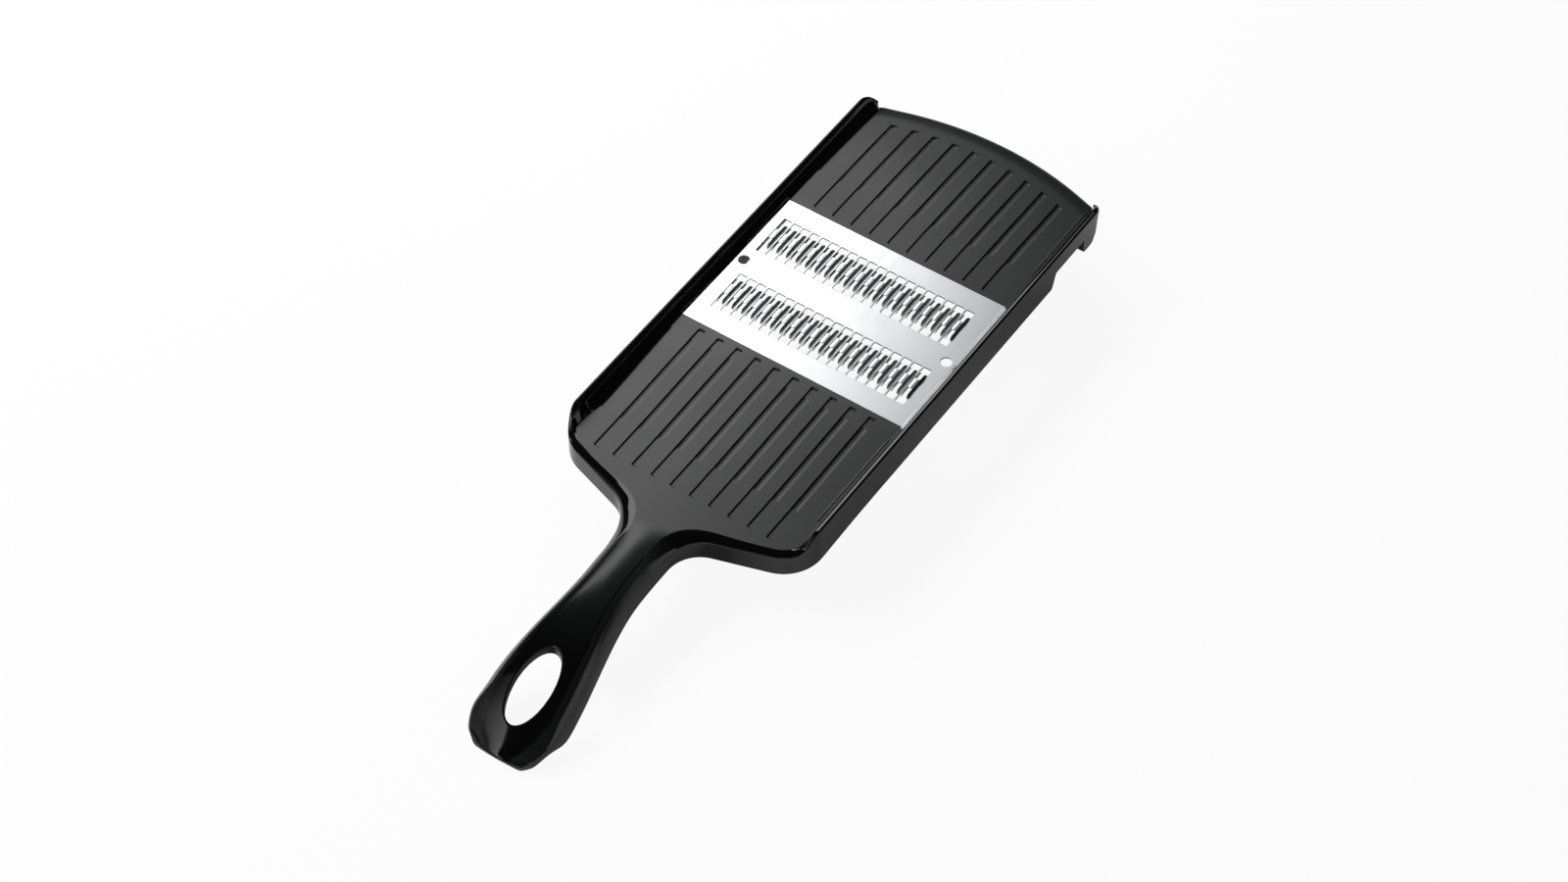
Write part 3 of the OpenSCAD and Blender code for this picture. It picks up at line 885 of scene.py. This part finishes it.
def place_noise(nodes, links, scale, detail=2.0, stretch=(1.0, 1.0, 1.0)):
    """A noise texture on the piece's own coordinates."""
    where = nodes.new("ShaderNodeTexCoord")
    mapping = nodes.new("ShaderNodeMapping")
    mapping.inputs["Scale"].default_value = stretch
    noise = nodes.new("ShaderNodeTexNoise")
    noise.inputs["Scale"].default_value = scale
    noise.inputs["Detail"].default_value = detail
    links.new(where.outputs["Object"], mapping.inputs["Vector"])
    links.new(mapping.outputs["Vector"], noise.inputs["Vector"])
    return noise


def ramp(nodes, links, source, low, high, out_low, out_high):
    """Maps a value from one range to another, held at the ends."""
    node = nodes.new("ShaderNodeMapRange")
    node.inputs["From Min"].default_value = low
    node.inputs["From Max"].default_value = high
    node.inputs["To Min"].default_value = out_low
    node.inputs["To Max"].default_value = out_high
    links.new(source, node.inputs["Value"])
    return node.outputs["Result"]


def calc(nodes, links, operation, *terms):
    """A math node on sockets and numbers."""
    node = nodes.new("ShaderNodeMath")
    node.operation = operation
    for socket, term in zip(node.inputs, terms):
        if isinstance(term, float):
            socket.default_value = term
        else:
            links.new(term, socket)
    return node.outputs["Value"]


def painted(nodes, name):
    """A mask painted on the mesh."""
    node = nodes.new("ShaderNodeAttribute")
    node.attribute_name = name
    return node.outputs["Fac"]


def link_colour(nodes, links, share, colour, factor, shader):
    """Runs the base colour from a colour to its multiple."""
    tone = nodes.new("ShaderNodeMix")
    tone.data_type = "RGBA"
    tone.inputs["A"].default_value = (*colour, 1.0)
    tone.inputs["B"].default_value = (*(c * factor for c in colour), 1.0)
    links.new(share, tone.inputs["Factor"])
    links.new(tone.outputs["Result"], shader.inputs["Base Color"])


def link_bump(nodes, links, height, strength, distance, shader):
    """Bumps a shader's normal."""
    bump = nodes.new("ShaderNodeBump")
    bump.inputs["Strength"].default_value = strength
    bump.inputs["Distance"].default_value = distance
    links.new(height, bump.inputs["Height"])
    links.new(bump.outputs["Normal"], shader.inputs["Normal"])


def plastic_material(colour):
    """Gloss plastic whose deck is satin with a fine grain. The satin mask is painted on the mesh."""
    mat, nodes, links, shader = new_material("moulded_plastic", colour)
    satin = painted(nodes, "satin")
    grain = place_noise(nodes, links, 2600.0, 3.0)
    cloud = place_noise(nodes, links, 26.0, 3.0)
    rough = nodes.new("ShaderNodeMix")
    rough.inputs["A"].default_value = 0.06
    links.new(satin, rough.inputs["Factor"])
    links.new(ramp(nodes, links, cloud.outputs["Fac"], 0.3, 0.7, 0.30, 0.36), rough.inputs["B"])
    links.new(rough.outputs["Result"], shader.inputs["Roughness"])
    link_colour(nodes, links, satin, colour, 8, shader)
    height = calc(nodes, links, "MULTIPLY", grain.outputs["Fac"], satin)
    link_bump(nodes, links, height, 0.25, 0.00005, shader)
    return mat


def steel_material(colour):
    """Cold-rolled satin steel, with painted shade where the windows' walls and the cutters' sides show dark
    reflections. That mask is painted on the mesh.
    """
    mat, nodes, links, shader = new_material("rolled_steel", colour)
    shader.inputs["Metallic"].default_value = 1.0
    # Painted shade: the base colour drops to 0.12 of itself where the shade mask is set.
    link_colour(nodes, links, painted(nodes, "painted_shade"), colour, 0.12, shader)
    rolled = place_noise(nodes, links, 900.0, 3.0, (1.0, 0.08, 1.0)).outputs["Fac"]
    links.new(ramp(nodes, links, rolled, 0.3, 0.7, 0.3, 0.38), shader.inputs["Roughness"])
    link_bump(nodes, links, rolled, 0.1, 0.00003, shader)
    return mat


def paint_satin(mesh, form):
    """Marks how satin each corner of the body is. The rails, the edge and the handle are gloss."""
    layer = mesh.attributes.new("satin", "FLOAT", "POINT")
    for v in mesh.vertices:
        x, y, z = ((v.co - SEAT) / MM)[:]
        top = form.top(y)
        amount = 1 - smooth((-135 - y) / 55)
        if y > -112 and abs(x) > form.foot(y) + 0.05:
            amount = 0.0
        elif y < -96 and abs(x) > form.half(y, form.roll(y)) + 0.05:
            amount = max(amount, 0.4) * smooth((-y - 124) / 20)
        elif z < top - 1.1 - (form.roll_drop if y > 60 else 0):
            amount = 0.0
        layer.data[v.index].value = amount


def paint_steel_shade(mesh, height):
    """Marks painted shade on the windows' walls and the cutters' sides, standing in for the dark they
    reflect.
    """
    layer = mesh.attributes.new("painted_shade", "FLOAT", "POINT")
    for v in mesh.vertices:
        x, y, z = ((v.co - SEAT) / MM)[:]
        inside = abs(x) < HALF_WIDE - 2 and abs(abs(y) - ROW_Y) < WINDOW_LEN / 2 + 0.5
        # Painted shade: within the window rows, points below the sheet's top face and the cutters' sides
        # between foot and top are marked dark.
        in_shade = z < -0.1 or 0.4 < z < height - 0.12
        layer.data[v.index].value = float(inside and in_shade)


def finish_piece(name, bm, material, node, sharp):
    """Turns a bmesh into a finished piece that stands for a solid."""
    if not bm.faces or any(len(e.link_faces) == 1 for e in bm.edges):
        raise RuntimeError(name + ": the surface is not closed")
    mesh = bpy.data.meshes.new(name)
    bm.normal_update()
    for e in bm.edges:
        e.smooth = not (len(e.link_faces) == 2 and e.calc_face_angle() > sharp)
    for f in bm.faces:
        f.smooth = abs(f.normal.z) < 0.9999
    bm.to_mesh(mesh)
    bm.free()
    mesh.materials.append(material)
    piece = bpy.data.objects.new(name, mesh)
    bpy.context.scene.collection.objects.link(piece)
    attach(piece, "root")
    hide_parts(node)
    return piece


# ---------------------------------------------------------------- operators


class SLICER_OT_body(bpy.types.Operator):
    """Build the moulded body: deck, rails, skirt, neck and handle"""

    bl_idname = "slicer.body"
    bl_label = "Moulded Body"

    def execute(self, context):
        scene = context.scene
        form = BodyForm(scene.slicer_body)
        piece = finish_piece("body_moulding", build_body(form),
                             plastic_material(scene.slicer_finish.plastic),
                             "moulded_body", math.radians(58))
        paint_satin(piece.data, form)
        return {"FINISHED"}


class SLICER_OT_plate(bpy.types.Operator):
    """Build the blade plate with its two rows of cutters"""

    bl_idname = "slicer.plate"
    bl_label = "Blade Plate"

    def execute(self, context):
        scene = context.scene
        sizes = scene.slicer_plate
        piece = finish_piece("plate_sheet", build_plate(sizes),
                             steel_material(scene.slicer_finish.steel),
                             "blade_plate", math.radians(40))
        # Paints shade on the windows' walls and the cutters' sides.
        paint_steel_shade(piece.data, sizes.cutter_height / MM)
        return {"FINISHED"}


def soft_box(name, low, high, radiance):
    """A soft rectangular light between two corners.

    It hangs level, or stands where both corners share an x.
    """
    size = [b - a for a, b in zip(low, high)]
    upright = size[0] == 0
    data = bpy.data.lights.new(name, "AREA")
    data.shape = "RECTANGLE"
    data.size = size[2] if upright else size[0]
    data.size_y = size[1]
    data.energy = 4 * radiance * data.size * data.size_y
    lamp = bpy.data.objects.new(name, data)
    lamp.location = [(a + b) / 2 for a, b in zip(low, high)]
    if upright:
        lamp.rotation_euler = (0, math.radians(90), 0)
    bpy.context.scene.collection.objects.link(lamp)
    return lamp


def fade_light(lamp):
    """Lets a lamp's glow fade away from one of its corners."""
    lamp.data.use_nodes = True
    nodes, links = lamp.data.node_tree.nodes, lamp.data.node_tree.links
    where = nodes.new("ShaderNodeNewGeometry")
    split = nodes.new("ShaderNodeSeparateXYZ")
    links.new(where.outputs["Parametric"], split.inputs["Vector"])
    along = ramp(nodes, links, split.outputs["X"], 0.72, 1.0, 0.12, 1.2)
    across = ramp(nodes, links, split.outputs["Y"], 0.25, 1.0, 1.1, 0.1)
    links.new(calc(nodes, links, "MULTIPLY", along, across), nodes["Emission"].inputs["Strength"])


def stage_camera():
    """The camera that the slicer is seen through."""
    data = bpy.data.cameras.new("view")
    data.sensor_width = 36.0
    data.lens = 84.94
    data.clip_end = 20.0
    camera = bpy.data.objects.new("view", data)
    right = Vector((0.8251, 0.5650, 0.0))
    down = Vector((0.4339, -0.6336, -0.6406))
    back = Vector((0.3619, -0.5285, 0.7679))
    turn = Matrix((right, -down, back)).transposed().to_4x4()
    eye = Vector((0.5119, -0.73165, 1.0839))
    camera.matrix_world = Matrix.Translation(eye) @ turn
    bpy.context.scene.collection.objects.link(camera)
    bpy.context.scene.camera = camera


def floor_material(colour):
    """A pale floor that reads as the white backdrop and still takes the slicer's shadow."""
    mat, nodes, links, shader = new_material("pale_floor", colour)
    shader.inputs["Roughness"].default_value = 0.9
    shader.inputs["Specular IOR Level"].default_value = 0.0
    glow = nodes.new("ShaderNodeEmission")
    glow.inputs["Color"].default_value = (1.0, 1.0, 1.0, 1.0)
    glow.inputs["Strength"].default_value = 1.0
    path = nodes.new("ShaderNodeLightPath")
    mirrored = calc(nodes, links, "ADD", path.outputs["Is Glossy Ray"], path.outputs["Is Transmission Ray"])
    part = calc(nodes, links, "MULTIPLY", mirrored, 0.05)
    share = calc(nodes, links, "MULTIPLY_ADD", path.outputs["Is Camera Ray"], 0.92, part)
    mix = nodes.new("ShaderNodeMixShader")
    links.new(share, mix.inputs["Fac"])
    links.new(shader.outputs["BSDF"], mix.inputs[1])
    links.new(glow.outputs["Emission"], mix.inputs[2])
    out = nodes["Material Output"]
    links.new(mix.outputs["Shader"], out.inputs["Surface"])
    return mat


def stage_world():
    """White for the camera; a dim room with a white horizon for reflections and fill."""
    world = bpy.data.worlds.new("studio")
    world.use_nodes = True
    nodes, links = world.node_tree.nodes, world.node_tree.links
    room = nodes["Background"]
    room.inputs["Color"].default_value = (1.0, 1.0, 1.0, 1.0)
    white = nodes.new("ShaderNodeBackground")
    white.inputs["Color"].default_value = (1.0, 1.0, 1.0, 1.0)
    white.inputs["Strength"].default_value = 1.0
    path = nodes.new("ShaderNodeLightPath")
    where = nodes.new("ShaderNodeTexCoord")
    split = nodes.new("ShaderNodeSeparateXYZ")
    links.new(where.outputs["Generated"], split.inputs["Vector"])
    low = ramp(nodes, links, split.outputs["Z"], 0.0, 0.06, 1.0, 0.0)
    glossy = path.outputs["Is Glossy Ray"]
    mirror = calc(nodes, links, "MULTIPLY", glossy, low)
    seen = calc(nodes, links, "MAXIMUM", path.outputs["Is Camera Ray"], mirror)
    links.new(calc(nodes, links, "MULTIPLY_ADD", glossy, -0.23, 0.25), room.inputs["Strength"])
    mix = nodes.new("ShaderNodeMixShader")
    links.new(seen, mix.inputs["Fac"])
    links.new(room.outputs["Background"], mix.inputs[1])
    links.new(white.outputs["Background"], mix.inputs[2])
    links.new(mix.outputs["Shader"], nodes["World Output"].inputs["Surface"])
    bpy.context.scene.world = world


class SLICER_OT_stage(bpy.types.Operator):
    """Lay the pale floor, hang the soft lights and set the camera"""

    bl_idname = "slicer.stage"
    bl_label = "Stage"

    def execute(self, context):
        scene = context.scene
        stage = scene.slicer_stage
        bm = bmesh.new()
        bmesh.ops.create_grid(bm, x_segments=2, y_segments=2, size=4.0)
        mesh = bpy.data.meshes.new("floor")
        bm.to_mesh(mesh)
        bm.free()
        mesh.materials.append(floor_material(stage.floor))
        floor = bpy.data.objects.new("floor", mesh)
        scene.collection.objects.link(floor)
        soft_box("key", (-0.60, 0.05, 0.5), (-0.21, 0.62, 0.5), stage.key)
        side = soft_box("side", (-2.36, -2.6, 1.0), (-0.44, -0.6, 1.0), stage.side)
        side.rotation_euler = (0, 0, math.radians(8))
        fade_light(side)
        soft_box("right", (1.6, -0.7, 0.1), (1.6, 0.6, 0.5), stage.fill)
        unseen = soft_box("bounce", (-2.2, -1.4, 1.6), (-1.0, 0.0, 1.6), stage.bounce)
        unseen.visible_glossy = False
        stage_world()
        stage_camera()
        scene.view_settings.view_transform = "Standard"
        return {"FINISHED"}


# ---------------------------------------------------------------- panel and run


class VIEW3D_PT_slicer(bpy.types.Panel):
    """Sizes, colours and the steps that build the slicer"""

    bl_label = "Julienne Slicer"
    bl_space_type = "VIEW_3D"
    bl_region_type = "UI"
    bl_category = "Slicer"

    def draw(self, context):
        scene, layout = context.scene, self.layout
        for owner, title in ((scene.slicer_body, "Body"), (scene.slicer_plate, "Plate"),
                             (scene.slicer_finish, "Finish"), (scene.slicer_stage, "Stage")):
            box = layout.box()
            box.label(text=title)
            for key in owner.bl_rna.properties.keys():
                if key not in ("rna_type", "name"):
                    box.prop(owner, key)
        for step in (SLICER_OT_body, SLICER_OT_plate, SLICER_OT_stage):
            layout.operator(step.bl_idname)


CLASSES = (SlicerBodySizes, SlicerPlateSizes, SlicerFinish, SlicerStage,
           SLICER_OT_body, SLICER_OT_plate, SLICER_OT_stage, VIEW3D_PT_slicer)


def register():
    for cls in CLASSES:
        bpy.utils.register_class(cls)
    bpy.types.Scene.slicer_body = bpy.props.PointerProperty(type=SlicerBodySizes)
    bpy.types.Scene.slicer_plate = bpy.props.PointerProperty(type=SlicerPlateSizes)
    bpy.types.Scene.slicer_finish = bpy.props.PointerProperty(type=SlicerFinish)
    bpy.types.Scene.slicer_stage = bpy.props.PointerProperty(type=SlicerStage)


def unregister():
    for key in ("slicer_body", "slicer_plate", "slicer_finish", "slicer_stage"):
        delattr(bpy.types.Scene, key)
    for cls in reversed(CLASSES):
        bpy.utils.unregister_class(cls)


def main():
    register()
    bpy.ops.slicer.body()
    bpy.ops.slicer.plate()
    bpy.ops.slicer.stage()


if __name__ == "__main__":
    main()
